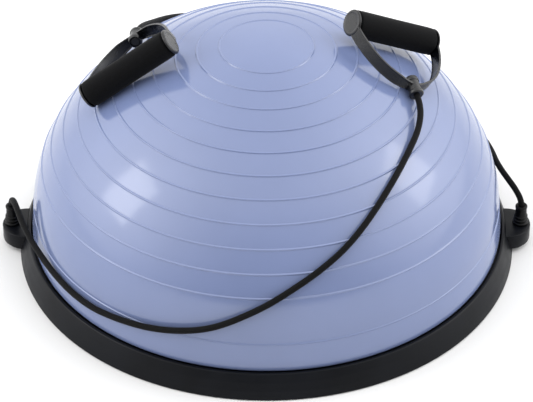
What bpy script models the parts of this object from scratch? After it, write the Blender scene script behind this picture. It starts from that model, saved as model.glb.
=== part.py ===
"""Half-dome balance trainer with two elastic bands and foam handles.

Metres, +Z up. The trainer stands on its foot pads at z = 0 with its centre on the Z axis.
Lengths written with the mm() helper are millimetres.
"""
import math

import bmesh
import bpy
from mathutils import Matrix, Vector

# ---------------------------------------------------------------- driving dimensions (mm)
BASE_R = 292.5          # outside of the base platform, at its widest
RIM_TOP_R = 282.4       # outside of the rim wall at its top edge
RIM_H = 30.3            # rim top above the floor
RIM_IN_R = 278.2        # inside of the rim wall
FLOOR_Z0, FLOOR_Z1 = 2.0, 5.0
SEAT_Z = 7.0            # ledge that the dome's bead sits on
DOME_A = 273.4          # dome's radius where its section turns upright
DOME_ZC = 65.7          # height of that radius
DOME_B = 216.7          # rise from there to the top
DOME_N = 1.856          # exponent of the dome's section
DOME_WALL = 3.2
# below DOME_ZC the skin flares a little down to the rim, then turns in over the clamp ring
DOME_SKIRT = [(274.4, 60.0), (275.2, 53.0), (276.0, 46.0), (276.5, 39.0), (276.5, 33.5), (276.0, 30.5), (273.8, 28.0), (268.5, 27.0)]
NECK_R = 260.8
BEAD_R = 269.6
EAR_X, EAR_R = 285.0, 28.3
EAR_Z0, EAR_Z1 = 6.0, 25.0
ANCHOR_X = 301.5        # axis of the band's hole in the ear
BAND_R = 3.6            # the elastic band, 7.2 mm across
CLAMP_SCREWS = 8
SCREW_PCR = 273.9
PADS = 6
PAD_PCR = 236.0
PAD_R = 18.0
GRIP_HALF = 61.3        # half of the handle's length over its end discs
GRIP_R = 15.8
VALVE_Z = 82.0
TURN = 48               # facets round the big turned parts

# The handles' places: centre of the grip, the grip's axis, and the way to the band's socket.
RIGHT = dict(at=(144.4, 47.5, 263.7), x=(-0.7914, -0.3826, 0.4767), y=(0.2699, -0.9185, -0.2891))
LEFT = dict(at=(-155.9, -19.2, 258.8), x=(0.8040, 0.0357, 0.5936), y=(0.0626, 0.9876, -0.1443))
SOCKET_Y0, SOCKET_Y1 = 70.0, 94.5
BAND_IN_Y, BAND_OUT_Y = 77.4, 95.5

# Control points of the bands between the sleeve's mouth and the handle's socket.
FRONT_BAND = [
    (-301.5, 0.0, 52.0), (-300.3, -3.8, 60.2), (-297.9, -11.7, 66.6), (-294.6, -22.6, 69.7), (-290.7, -35.1, 69.8),
    (-286.2, -48.5, 68.4), (-281.0, -62.4, 66.2), (-274.9, -76.6, 63.8), (-268.0, -90.9, 61.8), (-260.5, -105.2, 60.3),
    (-252.8, -119.7, 59.2), (-244.7, -134.2, 58.5), (-236.1, -148.5, 58.1), (-226.8, -162.6, 57.8), (-216.6, -176.2, 57.7),
    (-205.6, -189.2, 58.0), (-193.6, -201.5, 58.7), (-180.6, -212.7, 60.1), (-166.8, -223.2, 61.9), (-152.5, -232.9, 63.9),
    (-137.7, -241.9, 66.2), (-122.4, -249.9, 69.1), (-106.6, -256.8, 72.7), (-90.5, -262.7, 77.0), (-74.1, -267.3, 82.1),
    (-57.7, -270.3, 88.3), (-41.5, -271.4, 95.7), (-25.4, -271.0, 103.8), (-9.4, -269.4, 111.9), (6.3, -266.5, 120.3),
    (21.7, -262.0, 128.9), (36.8, -256.4, 137.1), (51.6, -249.7, 145.0), (65.7, -241.8, 152.8), (79.0, -232.7, 160.4),
    (91.1, -222.4, 168.0), (102.0, -211.1, 175.5), (111.9, -199.0, 182.7), (120.9, -186.5, 189.3), (129.2, -173.7, 195.3),
    (136.8, -160.8, 200.7), (143.7, -147.8, 205.3), (149.9, -135.0, 209.3), (155.6, -122.5, 212.9), (160.7, -110.4, 216.2),
    (165.3, -98.8, 219.2), (169.0, -87.6, 222.2), (171.5, -76.9, 225.2), (172.9, -66.7, 228.2), (173.0, -57.1, 231.0),
    (172.0, -48.3, 233.7),
]
BACK_BAND = [
    (301.5, 0.0, 52.0), (298.8, 2.2, 61.0), (293.2, 7.5, 69.6), (285.8, 16.6, 76.3), (278.5, 29.4, 80.6),
    (272.9, 45.2, 82.5), (269.2, 62.6, 82.9), (264.9, 80.0, 82.0), (259.6, 96.6, 80.4), (253.6, 112.2, 78.4),
    (246.8, 126.8, 76.2), (239.5, 140.5, 74.1), (231.6, 153.5, 72.0), (223.1, 165.7, 70.0), (214.0, 177.4, 68.2),
    (204.3, 188.6, 66.5), (194.1, 199.1, 65.1), (183.4, 209.2, 64.0), (172.1, 218.6, 63.2), (160.3, 227.5, 62.8),
    (148.1, 235.7, 62.9), (135.4, 243.2, 63.7), (122.3, 250.0, 65.2), (109.1, 256.0, 67.5), (95.6, 261.1, 70.6),
    (82.1, 265.4, 74.6), (68.6, 268.6, 79.5), (55.2, 270.8, 85.2), (41.9, 272.0, 91.6), (28.9, 272.1, 98.5),
    (16.1, 271.2, 105.9), (3.5, 269.1, 113.7), (-8.9, 266.0, 121.7), (-21.2, 261.9, 129.8), (-33.5, 256.6, 138.0),
    (-45.7, 250.3, 146.1), (-57.8, 242.8, 154.1), (-69.7, 234.2, 162.1), (-81.2, 224.5, 169.8), (-92.0, 213.9, 177.3),
    (-102.1, 202.3, 184.7), (-111.1, 189.9, 191.7), (-118.9, 177.0, 198.5), (-125.4, 163.7, 205.2), (-130.8, 150.5, 211.7),
    (-135.3, 137.8, 218.1), (-139.3, 125.7, 224.4), (-142.6, 114.2, 230.4), (-145.3, 103.4, 235.6), (-147.5, 93.3, 239.8),
    (-149.0, 83.8, 242.9),
]

# ---------------------------------------------------------------- scene and helpers
for old in list(bpy.data.objects):
    bpy.data.objects.remove(old, do_unlink=True)
for old in list(bpy.data.meshes):
    bpy.data.meshes.remove(old)

TRAINER = bpy.data.collections.new("balance_dome_trainer")
bpy.context.scene.collection.children.link(TRAINER)
CUTTERS = bpy.data.collections.new("cutters")
bpy.context.scene.collection.children.link(CUTTERS)


def mm(*values):
    return tuple(v / 1000.0 for v in values)


def material(name, colour, roughness, metallic=0.0):
    mat = bpy.data.materials.new(name)
    mat.use_nodes = True
    shader = mat.node_tree.nodes["Principled BSDF"]
    shader.inputs["Base Color"].default_value = (*colour, 1.0)
    shader.inputs["Roughness"].default_value = roughness
    shader.inputs["Metallic"].default_value = metallic
    mat.diffuse_color = (*colour, 1.0)
    return mat


def place(obj, colour=None, helper=False):
    (CUTTERS if helper else TRAINER).objects.link(obj)
    if helper:
        obj.hide_render = True
        obj.display_type = "WIRE"
    if colour:
        obj.data.materials.append(material(obj.name + "_mat", *colour))
    return obj


def from_bmesh(name, bm, colour=None, helper=False, matrix=None):
    mesh = bpy.data.meshes.new(name)
    bmesh.ops.recalc_face_normals(bm, faces=bm.faces)
    bm.to_mesh(mesh)
    bm.free()
    obj = bpy.data.objects.new(name, mesh)
    if matrix:
        obj.matrix_world = matrix
    return place(obj, colour, helper)


def turned(name, profile, colour=None, helper=False, steps=TURN, ring=False, matrix=None):
    """Turns a profile of (radius, height) in mm round the Z axis with a Screw modifier."""
    bm = bmesh.new()
    verts = [bm.verts.new(mm(r, 0.0, z)) for r, z in profile]
    for a, b in zip(verts, verts[1:]):
        bm.edges.new((a, b))
    if ring:
        bm.edges.new((verts[-1], verts[0]))
    mesh = bpy.data.meshes.new(name)
    bm.to_mesh(mesh)
    bm.free()
    obj = bpy.data.objects.new(name, mesh)
    screw = obj.modifiers.new("Screw", "SCREW")
    screw.axis = "Z"
    screw.steps = screw.render_steps = steps
    screw.use_merge_vertices = True
    screw.merge_threshold = 0.00005
    screw.use_smooth_shade = True
    if matrix:
        obj.matrix_world = matrix
    return place(obj, colour, helper)


def cylinders(name, items, segments):
    """One hidden cutter of separate upright cylinders: (x, y, z0, z1, radius) in mm."""
    bm = bmesh.new()
    for x, y, z0, z1, r in items:
        bmesh.ops.create_cone(
            bm, cap_ends=True, segments=segments, radius1=r / 1000, radius2=r / 1000, depth=(z1 - z0) / 1000,
            matrix=Matrix.Translation(mm(x, y, (z0 + z1) / 2)),
        )
    return from_bmesh(name, bm, helper=True)


def boolean(obj, operation, other):
    mod = obj.modifiers.new(operation.title(), "BOOLEAN")
    mod.operation = operation
    mod.solver = "EXACT"
    mod.object = other
    return mod


def bevel(obj, width, segments=1, angle=40.0):
    mod = obj.modifiers.new("Bevel", "BEVEL")
    mod.width = width / 1000
    mod.segments = segments
    mod.limit_method = "ANGLE"
    mod.angle_limit = math.radians(angle)
    return mod


def round_points(count, radius, start=0.0):
    step = 2 * math.pi / count
    return [(radius * math.cos(start + i * step), radius * math.sin(start + i * step)) for i in range(count)]


DARK = ((0.022, 0.024, 0.027), 0.42)
BLACK = ((0.012, 0.012, 0.013), 0.6)
RUBBER = ((0.010, 0.010, 0.011), 0.75)
PVC = ((0.15, 0.19, 0.34), 0.22)
STEEL = ((0.55, 0.55, 0.56), 0.3, 1.0)

# ---------------------------------------------------------------- base platform
ears_bm = bmesh.new()
for side in (1, -1):
    outline = []
    for i in range(17):
        a = -math.pi / 2 + math.pi * i / 16
        outline.append((side * (EAR_X + EAR_R * math.cos(a)), EAR_R * math.sin(a)))
    for i in range(5):
        y = EAR_R * (1 - i / 2)
        outline.append((side * math.sqrt(281.6 ** 2 - y * y), y))
    face = ears_bm.faces.new([ears_bm.verts.new(mm(x, y, EAR_Z0)) for x, y in outline])
    lifted = bmesh.ops.extrude_face_region(ears_bm, geom=[face])
    tops = [g for g in lifted["geom"] if isinstance(g, bmesh.types.BMVert)]
    bmesh.ops.translate(ears_bm, verts=tops, vec=mm(0, 0, EAR_Z1 - EAR_Z0))
ears = from_bmesh("ears_union", ears_bm, helper=True)

platform = turned("base_platform", [
    (0, FLOOR_Z1), (138.5, FLOOR_Z1), (138.5, SEAT_Z), (141.5, SEAT_Z), (141.5, FLOOR_Z1), (250, FLOOR_Z1), (253, SEAT_Z),
    (RIM_IN_R, SEAT_Z), (RIM_IN_R, 29.2), (279.2, RIM_H), (281.4, RIM_H), (RIM_TOP_R, 29.2),
    (286.1, 20.5), (289.6, 11.0), (BASE_R, 1.5), (291.6, 0.5), (288.5, 0.5), (286.0, FLOOR_Z0), (0, FLOOR_Z0),
], DARK)
boolean(platform, "UNION", ears)
boolean(platform, "DIFFERENCE", cylinders(
    "pad_and_head_recesses",
    [(x, y, 1.0, 3.3, PAD_R + 0.4) for x, y in round_points(PADS, PAD_PCR, math.pi / 6)]
    + [(x, y, 1.0, 4.4, 4.8) for x, y in round_points(CLAMP_SCREWS, SCREW_PCR, math.pi / 8)]
    + [(s * ANCHOR_X, 0, 4.5, 14.0, 9.2) for s in (1, -1)], 16))
boolean(platform, "DIFFERENCE", cylinders(
    "screw_and_band_holes",
    [(x, y, 3.5, 8.0, 2.5) for x, y in round_points(CLAMP_SCREWS, SCREW_PCR, math.pi / 8)]
    + [(s * ANCHOR_X, 0, 12.0, 27.0, 6.35) for s in (1, -1)], 14))

# ---------------------------------------------------------------- clamp ring, screws, foot pads
clamp = turned("clamp_ring", [
    (262.2, 25.0), (277.0, 25.0), (277.8, 24.2), (277.8, 7.35), (270.1, 7.35), (270.1, 16.8), (261.4, 16.8), (261.4, 24.2),
], DARK, ring=True)
boolean(clamp, "DIFFERENCE", cylinders(
    "clamp_screw_bores", [(x, y, 6.0, 20.5, 2.5) for x, y in round_points(CLAMP_SCREWS, SCREW_PCR, math.pi / 8)], 10))

for i, (x, y) in enumerate(round_points(CLAMP_SCREWS, SCREW_PCR, math.pi / 8), 1):
    screw_obj = turned(f"clamp_screw_{i}", [
        (0, 20.0), (1.2, 20.0), (2.0, 18.6), (2.0, 4.05), (4.3, 4.05), (4.3, 2.9), (3.4, 2.1), (0, 2.1),
    ], STEEL, steps=10)
    screw_obj.location = mm(x, y, 0)

for i, (x, y) in enumerate(round_points(PADS, PAD_PCR, math.pi / 6), 1):
    pad = turned(f"foot_pad_{i}", [(0, 3.0), (PAD_R, 3.0), (PAD_R, 0.7), (PAD_R - 0.7, 0.0), (0, 0.0)], RUBBER, steps=20)
    pad.location = mm(x, y, 0)

# ---------------------------------------------------------------- dome bladder


def dome_section(inset, count):
    """Points of the dome's section from the pole down to where it stands upright, inset by this many mm."""
    points = [(0.0, DOME_ZC + DOME_B - inset)]
    for k in range(1, count + 1):
        t = math.pi / 2 * k / count
        points.append((
            (DOME_A - inset) * math.sin(t) ** (2 / DOME_N),
            DOME_ZC + (DOME_B - inset) * max(0.0, math.cos(t)) ** (2 / DOME_N),
        ))
    return points


dome = turned("dome_bladder", dome_section(0.0, 12) + DOME_SKIRT + [
    (NECK_R, 26.5), (NECK_R, 16.4), (BEAD_R, 16.4), (BEAD_R, 7.35), (0, 7.35)], PVC)
hollow = turned("dome_hollow", dome_section(DOME_WALL, 9) + [
    (271.8, 57.0), (273.2, 42.0), (273.2, 34.8), (271.6, 31.8), (267.5, 30.6), (NECK_R - DOME_WALL, 29.8),
    (NECK_R - DOME_WALL, 10.6), (0, 10.6)], helper=True)
boolean(dome, "DIFFERENCE", hollow)

ALONG_Y = Matrix(((1, 0, 0, 0), (0, 0, 1, 0), (0, -1, 0, VALVE_Z / 1000), (0, 0, 0, 1)))
bore_bm = bmesh.new()
bmesh.ops.create_cone(bore_bm, cap_ends=True, segments=16, radius1=0.0071, radius2=0.0071, depth=0.030,
                      matrix=Matrix.Translation(mm(0, 0, 270)))
valve_bore = from_bmesh("valve_bore", bore_bm, helper=True, matrix=ALONG_Y)
boolean(dome, "DIFFERENCE", valve_bore)

turned("valve_collar", [(4.5, 276.0), (10.0, 276.0), (11.0, 275.0), (11.0, 273.8), (6.75, 273.8), (6.75, 265.0), (4.5, 265.0)],
       PVC, steps=16, ring=True, matrix=ALONG_Y)
turned("valve_plug", [(0, 279.0), (7.0, 279.0), (8.0, 278.0), (8.0, 276.4), (4.2, 276.4), (4.2, 263.5), (3.4, 262.0), (0, 262.0)],
       PVC, steps=16, matrix=ALONG_Y)

# ---------------------------------------------------------------- ear sleeves and the bands' stops
for side, name in ((-1, "left"), (1, "right")):
    sleeve = turned(f"{name}_band_sleeve", [
        (5.6, 51.0), (6.9, 49.8), (7.1, 36.4), (8.1, 35.6), (8.1, 33.4), (7.4, 32.6), (9.3, 28.8), (9.5, 25.35),
        (6.0, 25.35), (6.0, 13.2), (3.95, 13.2), (3.95, 51.0),
    ], RUBBER, steps=16, ring=True)
    sleeve.location = mm(side * ANCHOR_X, 0, 0)
    stop = turned(f"{name}_band_stop", [(3.95, 12.8), (7.0, 12.8), (7.8, 12.0), (7.8, 7.2), (7.0, 6.4), (3.95, 6.4)],
                  BLACK, steps=16, ring=True)
    stop.location = mm(side * ANCHOR_X, 0, 0)

# ---------------------------------------------------------------- handles


def frame_of(spec):
    x = Vector(spec["x"]).normalized()
    y = Vector(spec["y"])
    y = (y - x * x.dot(y)).normalized()
    z = x.cross(y)
    rot = Matrix((x, y, z)).transposed().to_4x4()
    return Matrix.Translation(mm(*spec["at"])) @ rot


STRAP = [(59.7, 6.0), (59.4, 13.0), (58.0, 20.5), (55.4, 29.5), (51.6, 39.0), (46.5, 48.9), (40.1, 58.4),
         (32.8, 66.5), (24.8, 73.0), (16.3, 77.8), (8.0, 80.8), (0.0, 81.9)]
STRAP_T, STRAP_W = 2.8, 15.5


def strap_mesh():
    """The strap as one row of four corners per point, narrower where it meets the band's socket."""
    line = STRAP + [(-x, y) for x, y in reversed(STRAP[:-1])]
    bm = bmesh.new()
    rows = []
    for i, (x, y) in enumerate(line):
        a, b = line[max(i - 1, 0)], line[min(i + 1, len(line) - 1)]
        d = Vector((b[0] - a[0], b[1] - a[1])).normalized()
        n = Vector((d.y, -d.x)) * STRAP_T / 2
        half = STRAP_W / 2 * (0.78 + 0.22 * min(1.0, max(0.0, (abs(x) - 8.0) / 14.0)))
        rows.append([bm.verts.new(mm(x + s * n.x, y + s * n.y, z)) for s, z in ((1, -half), (1, half), (-1, half), (-1, -half))])
    for p, q in zip(rows, rows[1:]):
        for k in range(4):
            bm.faces.new((p[k], p[(k + 1) % 4], q[(k + 1) % 4], q[k]))
    bm.faces.new(rows[0])
    bm.faces.new(rows[-1])
    return bm


ALONG_X = Matrix(((0, 0, 1, 0), (0, 1, 0, 0), (-1, 0, 0, 0), (0, 0, 0, 1)))
ALONG_MINUS_X = Matrix(((0, 0, -1, 0), (0, 1, 0, 0), (1, 0, 0, 0), (0, 0, 0, 1)))
UP_Y = Matrix(((1, 0, 0, 0), (0, 0, 1, 0), (0, -1, 0, 0), (0, 0, 0, 1)))

for name, spec in (("right", RIGHT), ("left", LEFT)):
    frame = frame_of(spec)
    turned(f"{name}_grip_core", [(11.0, 57.4), (11.0, -57.4), (9.3, -57.4), (9.3, 57.4)], BLACK, steps=16, ring=True,
           matrix=frame @ ALONG_X)
    turned(f"{name}_grip_foam", [
        (12.6, 57.6), (14.9, 56.6), (GRIP_R, 54.2), (GRIP_R, -54.2), (14.9, -56.6), (12.6, -57.6), (11.4, -57.6), (11.4, 57.6),
    ], BLACK, steps=20, ring=True, matrix=frame @ ALONG_X)

    stirrup = from_bmesh(f"{name}_stirrup", strap_mesh(), DARK, matrix=frame)
    end_profile = [(0, GRIP_HALF), (13.4, GRIP_HALF), (15.6, GRIP_HALF - 1.6), (15.6, 58.1), (8.9, 58.1), (8.9, 44.5), (8.1, 43.5), (0, 43.5)]
    for tag, turn in (("a", ALONG_X), ("b", ALONG_MINUS_X)):
        boolean(stirrup, "UNION", turned(f"{name}_end_disc_{tag}", end_profile, helper=True, steps=20, matrix=frame @ turn))
    boolean(stirrup, "UNION", turned(f"{name}_socket_body", [
        (0, SOCKET_Y1), (7.6, SOCKET_Y1), (8.6, SOCKET_Y1 - 1.0), (8.6, SOCKET_Y1 - 4.0), (7.4, SOCKET_Y0 + 0.8), (6.8, SOCKET_Y0), (0, SOCKET_Y0),
    ], helper=True, steps=16, matrix=frame @ UP_Y))
    boolean(stirrup, "DIFFERENCE", turned(f"{name}_socket_bore", [
        (0, 97.0), (3.95, 97.0), (3.95, 77.0), (5.9, 77.0), (5.9, 68.0), (0, 68.0),
    ], helper=True, steps=16, matrix=frame @ UP_Y))
    turned(f"{name}_band_plug", [(0, 76.7), (5.6, 76.7), (5.6, 71.6), (4.6, 70.6), (0, 70.6)], BLACK, steps=16,
           matrix=frame @ UP_Y)

# ---------------------------------------------------------------- bands


def smooth_line(controls, before, after, per_span=1):
    """Centripetal Catmull-Rom curve through the control points, with the end tangents set by two outer points."""
    k = [Vector(before)] + [Vector(c) for c in controls] + [Vector(after)]
    line = []
    for i in range(1, len(k) - 2):
        p0, p1, p2, p3 = k[i - 1:i + 3]
        t0 = 0.0
        t1 = t0 + (p1 - p0).length ** 0.5
        t2 = t1 + (p2 - p1).length ** 0.5
        t3 = t2 + (p3 - p2).length ** 0.5
        for j in range(per_span):
            t = t1 + (t2 - t1) * j / per_span
            a1 = (t1 - t) / (t1 - t0) * p0 + (t - t0) / (t1 - t0) * p1
            a2 = (t2 - t) / (t2 - t1) * p1 + (t - t1) / (t2 - t1) * p2
            a3 = (t3 - t) / (t3 - t2) * p2 + (t - t2) / (t3 - t2) * p3
            b1 = (t2 - t) / (t2 - t0) * a1 + (t - t0) / (t2 - t0) * a2
            b2 = (t3 - t) / (t3 - t1) * a2 + (t - t1) / (t3 - t1) * a3
            line.append((t2 - t) / (t2 - t1) * b1 + (t - t1) / (t2 - t1) * b2)
    line.append(k[-2])
    return line


def band_route(controls, spec):
    """The whole centreline in mm: straight up through the ear and its sleeve, over the dome, straight into the socket."""
    frame = frame_of(spec)
    out = frame @ Vector(mm(0, BAND_OUT_Y, 0)) * 1000
    deep = frame @ Vector(mm(0, BAND_IN_Y, 0)) * 1000
    start = Vector(controls[0])
    controls = [Vector(c) for c in controls] + [out]
    middle = smooth_line(controls, start - Vector((0, 0, 7)), out + (deep - out).normalized() * 9)
    return [Vector((start.x, start.y, 7.8)), Vector((start.x, start.y, 30.0))] + middle + [deep]


def band(name, controls, spec):
    line = band_route(controls, spec)
    curve = bpy.data.curves.new(name, "CURVE")
    curve.dimensions = "3D"
    curve.bevel_depth = BAND_R / 1000
    curve.bevel_resolution = 2
    curve.use_fill_caps = True
    spline = curve.splines.new("POLY")
    spline.points.add(len(line) - 1)
    for point, at in zip(spline.points, line):
        point.co = (*mm(*at), 1.0)
    return place(bpy.data.objects.new(name, curve), BLACK)


band("front_band", FRONT_BAND, RIGHT)
band("back_band", BACK_BAND, LEFT)
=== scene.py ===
"""Looks of the half-dome balance trainer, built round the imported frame. Metres, +Z up, in the row frame."""
import math

import bmesh
import bpy
import numpy as np
from mathutils import Matrix, Vector


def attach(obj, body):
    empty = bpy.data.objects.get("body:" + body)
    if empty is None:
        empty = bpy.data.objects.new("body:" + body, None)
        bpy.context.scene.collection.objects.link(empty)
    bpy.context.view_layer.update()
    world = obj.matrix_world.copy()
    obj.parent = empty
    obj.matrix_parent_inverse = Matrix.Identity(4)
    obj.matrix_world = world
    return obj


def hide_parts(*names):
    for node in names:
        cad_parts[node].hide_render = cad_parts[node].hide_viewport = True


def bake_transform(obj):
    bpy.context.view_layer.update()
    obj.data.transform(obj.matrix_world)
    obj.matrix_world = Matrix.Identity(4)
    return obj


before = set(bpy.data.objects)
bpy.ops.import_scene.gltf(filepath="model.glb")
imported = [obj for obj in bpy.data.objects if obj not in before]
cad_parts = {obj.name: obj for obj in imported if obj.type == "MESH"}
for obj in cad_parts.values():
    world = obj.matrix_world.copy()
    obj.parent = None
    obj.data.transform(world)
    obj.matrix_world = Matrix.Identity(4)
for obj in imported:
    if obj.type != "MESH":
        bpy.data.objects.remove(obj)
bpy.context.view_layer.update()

scene = bpy.context.scene
scene.view_settings.view_transform = "Standard"
scene.view_settings.look = "None"
scene.view_settings.exposure = 0.0

# ---------------------------------------------------------------- camera
TARGET = Vector((0.0, 0.0, 0.0568))
ELEVATION, DISTANCE = math.radians(37.18), 3.212
cam_data = bpy.data.cameras.new("camera")
cam_data.sensor_fit = "HORIZONTAL"
cam_data.sensor_width = 36.0
cam_data.lens = 183.7
cam_data.clip_start = 0.05
camera = bpy.data.objects.new("camera", cam_data)
scene.collection.objects.link(camera)
camera.location = TARGET + Vector((0.0, -math.cos(ELEVATION), math.sin(ELEVATION))) * DISTANCE
camera.rotation_euler = (TARGET - camera.location).to_track_quat("-Z", "Y").to_euler()
scene.camera = camera

# ---------------------------------------------------------------- dimensions (mm), as in the CAD source
DOME_A, DOME_ZC, DOME_B, DOME_N, NECK_R, BEAD_R = 273.4, 65.7, 216.7, 1.856, 260.8, 269.6
DOME_SKIRT = [(274.4, 60.0), (275.2, 53.0), (276.0, 46.0), (276.5, 39.0), (276.5, 33.5), (276.0, 30.5), (273.8, 28.0), (268.5, 27.0)]
VALVE_Z = 82.0
EAR_X, EAR_R, EAR_Z0, EAR_Z1, ANCHOR_X = 285.0, 28.3, 6.0, 25.0, 301.5
BAND_R = 3.6
PADS, PAD_PCR, CLAMP_SCREWS, SCREW_PCR = 6, 236.0, 8, 273.9
RIGHT = dict(at=(144.4, 47.5, 263.7), x=(-0.7914, -0.3826, 0.4767), y=(0.2699, -0.9185, -0.2891))
LEFT = dict(at=(-155.9, -19.2, 258.8), x=(0.8040, 0.0357, 0.5936), y=(0.0626, 0.9876, -0.1443))
BAND_IN_Y, BAND_OUT_Y = 77.4, 95.5
RIDGE_Z = [276.7, 270.4, 262.2, 251.4, 238.7, 224.2, 207.3, 188.4, 167.7, 144.9, 120.5, 65.7]
FRONT_BAND = [
    (-301.5, 0.0, 52.0), (-300.3, -3.8, 60.2), (-297.9, -11.7, 66.6), (-294.6, -22.6, 69.7), (-290.7, -35.1, 69.8),
    (-286.2, -48.5, 68.4), (-281.0, -62.4, 66.2), (-274.9, -76.6, 63.8), (-268.0, -90.9, 61.8), (-260.5, -105.2, 60.3),
    (-252.8, -119.7, 59.2), (-244.7, -134.2, 58.5), (-236.1, -148.5, 58.1), (-226.8, -162.6, 57.8), (-216.6, -176.2, 57.7),
    (-205.6, -189.2, 58.0), (-193.6, -201.5, 58.7), (-180.6, -212.7, 60.1), (-166.8, -223.2, 61.9), (-152.5, -232.9, 63.9),
    (-137.7, -241.9, 66.2), (-122.4, -249.9, 69.1), (-106.6, -256.8, 72.7), (-90.5, -262.7, 77.0), (-74.1, -267.3, 82.1),
    (-57.7, -270.3, 88.3), (-41.5, -271.4, 95.7), (-25.4, -271.0, 103.8), (-9.4, -269.4, 111.9), (6.3, -266.5, 120.3),
    (21.7, -262.0, 128.9), (36.8, -256.4, 137.1), (51.6, -249.7, 145.0), (65.7, -241.8, 152.8), (79.0, -232.7, 160.4),
    (91.1, -222.4, 168.0), (102.0, -211.1, 175.5), (111.9, -199.0, 182.7), (120.9, -186.5, 189.3), (129.2, -173.7, 195.3),
    (136.8, -160.8, 200.7), (143.7, -147.8, 205.3), (149.9, -135.0, 209.3), (155.6, -122.5, 212.9), (160.7, -110.4, 216.2),
    (165.3, -98.8, 219.2), (169.0, -87.6, 222.2), (171.5, -76.9, 225.2), (172.9, -66.7, 228.2), (173.0, -57.1, 231.0),
    (172.0, -48.3, 233.7),
]
BACK_BAND = [
    (301.5, 0.0, 52.0), (298.8, 2.2, 61.0), (293.2, 7.5, 69.6), (285.8, 16.6, 76.3), (278.5, 29.4, 80.6),
    (272.9, 45.2, 82.5), (269.2, 62.6, 82.9), (264.9, 80.0, 82.0), (259.6, 96.6, 80.4), (253.6, 112.2, 78.4),
    (246.8, 126.8, 76.2), (239.5, 140.5, 74.1), (231.6, 153.5, 72.0), (223.1, 165.7, 70.0), (214.0, 177.4, 68.2),
    (204.3, 188.6, 66.5), (194.1, 199.1, 65.1), (183.4, 209.2, 64.0), (172.1, 218.6, 63.2), (160.3, 227.5, 62.8),
    (148.1, 235.7, 62.9), (135.4, 243.2, 63.7), (122.3, 250.0, 65.2), (109.1, 256.0, 67.5), (95.6, 261.1, 70.6),
    (82.1, 265.4, 74.6), (68.6, 268.6, 79.5), (55.2, 270.8, 85.2), (41.9, 272.0, 91.6), (28.9, 272.1, 98.5),
    (16.1, 271.2, 105.9), (3.5, 269.1, 113.7), (-8.9, 266.0, 121.7), (-21.2, 261.9, 129.8), (-33.5, 256.6, 138.0),
    (-45.7, 250.3, 146.1), (-57.8, 242.8, 154.1), (-69.7, 234.2, 162.1), (-81.2, 224.5, 169.8), (-92.0, 213.9, 177.3),
    (-102.1, 202.3, 184.7), (-111.1, 189.9, 191.7), (-118.9, 177.0, 198.5), (-125.4, 163.7, 205.2), (-130.8, 150.5, 211.7),
    (-135.3, 137.8, 218.1), (-139.3, 125.7, 224.4), (-142.6, 114.2, 230.4), (-145.3, 103.4, 235.6), (-147.5, 93.3, 239.8),
    (-149.0, 83.8, 242.9),
]


def mm(*values):
    return tuple(v / 1000.0 for v in values)


def frame_of(spec):
    x = Vector(spec["x"]).normalized()
    y = Vector(spec["y"])
    y = (y - x * x.dot(y)).normalized()
    z = x.cross(y)
    return Matrix.Translation(mm(*spec["at"])) @ Matrix((x, y, z)).transposed().to_4x4()


# ---------------------------------------------------------------- mesh helpers
def add(name, verts, faces, material=None, matrix=None, smooth_angle=32.0):
    """One object in the row frame from points in mm, with its edges sharp only past the given angle."""
    points = np.asarray(verts, float) / 1000.0
    mesh = bpy.data.meshes.new(name)
    mesh.from_pydata(points.tolist(), [], faces)
    if matrix is not None:
        mesh.transform(matrix)
    finish_mesh(mesh, smooth_angle)
    obj = bpy.data.objects.new(name, mesh)
    scene.collection.objects.link(obj)
    if material is not None:
        mesh.materials.append(material)
    return obj


def finish_mesh(mesh, smooth_angle=32.0):
    bm = bmesh.new()
    bm.from_mesh(mesh)
    bmesh.ops.remove_doubles(bm, verts=bm.verts, dist=1e-6)
    bmesh.ops.recalc_face_normals(bm, faces=bm.faces)
    limit = math.radians(smooth_angle)
    for face in bm.faces:
        face.smooth = True
    for edge in bm.edges:
        edge.smooth = not (len(edge.link_faces) == 2 and edge.calc_face_angle(0.0) > limit)
    bm.to_mesh(mesh)
    bm.free()
    mesh.update()


def rounded(points, closed=False, arc=4):
    """A profile whose corners given as (r, z, radius) are rounded by arcs of that radius."""
    out = []
    n = len(points)
    for i, p in enumerate(points):
        radius = p[2] if len(p) > 2 else 0.0
        if not radius or (not closed and i in (0, n - 1)):
            out.append((p[0], p[1]))
            continue
        here = Vector(p[:2])
        a = Vector(points[i - 1][:2]) - here
        b = Vector(points[(i + 1) % n][:2]) - here
        la, lb = a.length, b.length
        a.normalize()
        b.normalize()
        angle = a.angle(b)
        if angle > math.pi - 0.02:
            out.append((p[0], p[1]))
            continue
        back = min(radius / math.tan(angle / 2), la * 0.49, lb * 0.49)
        true_r = back * math.tan(angle / 2)
        centre = here + (a + b).normalized() * (true_r / math.sin(angle / 2))
        start, end = here + a * back - centre, here + b * back - centre
        a0, a1 = math.atan2(start.y, start.x), math.atan2(end.y, end.x)
        turn = (a1 - a0 + math.pi) % (2 * math.pi) - math.pi
        for k in range(arc + 1):
            t = a0 + turn * k / arc
            out.append((centre.x + true_r * math.cos(t), centre.y + true_r * math.sin(t)))
    return out


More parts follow.
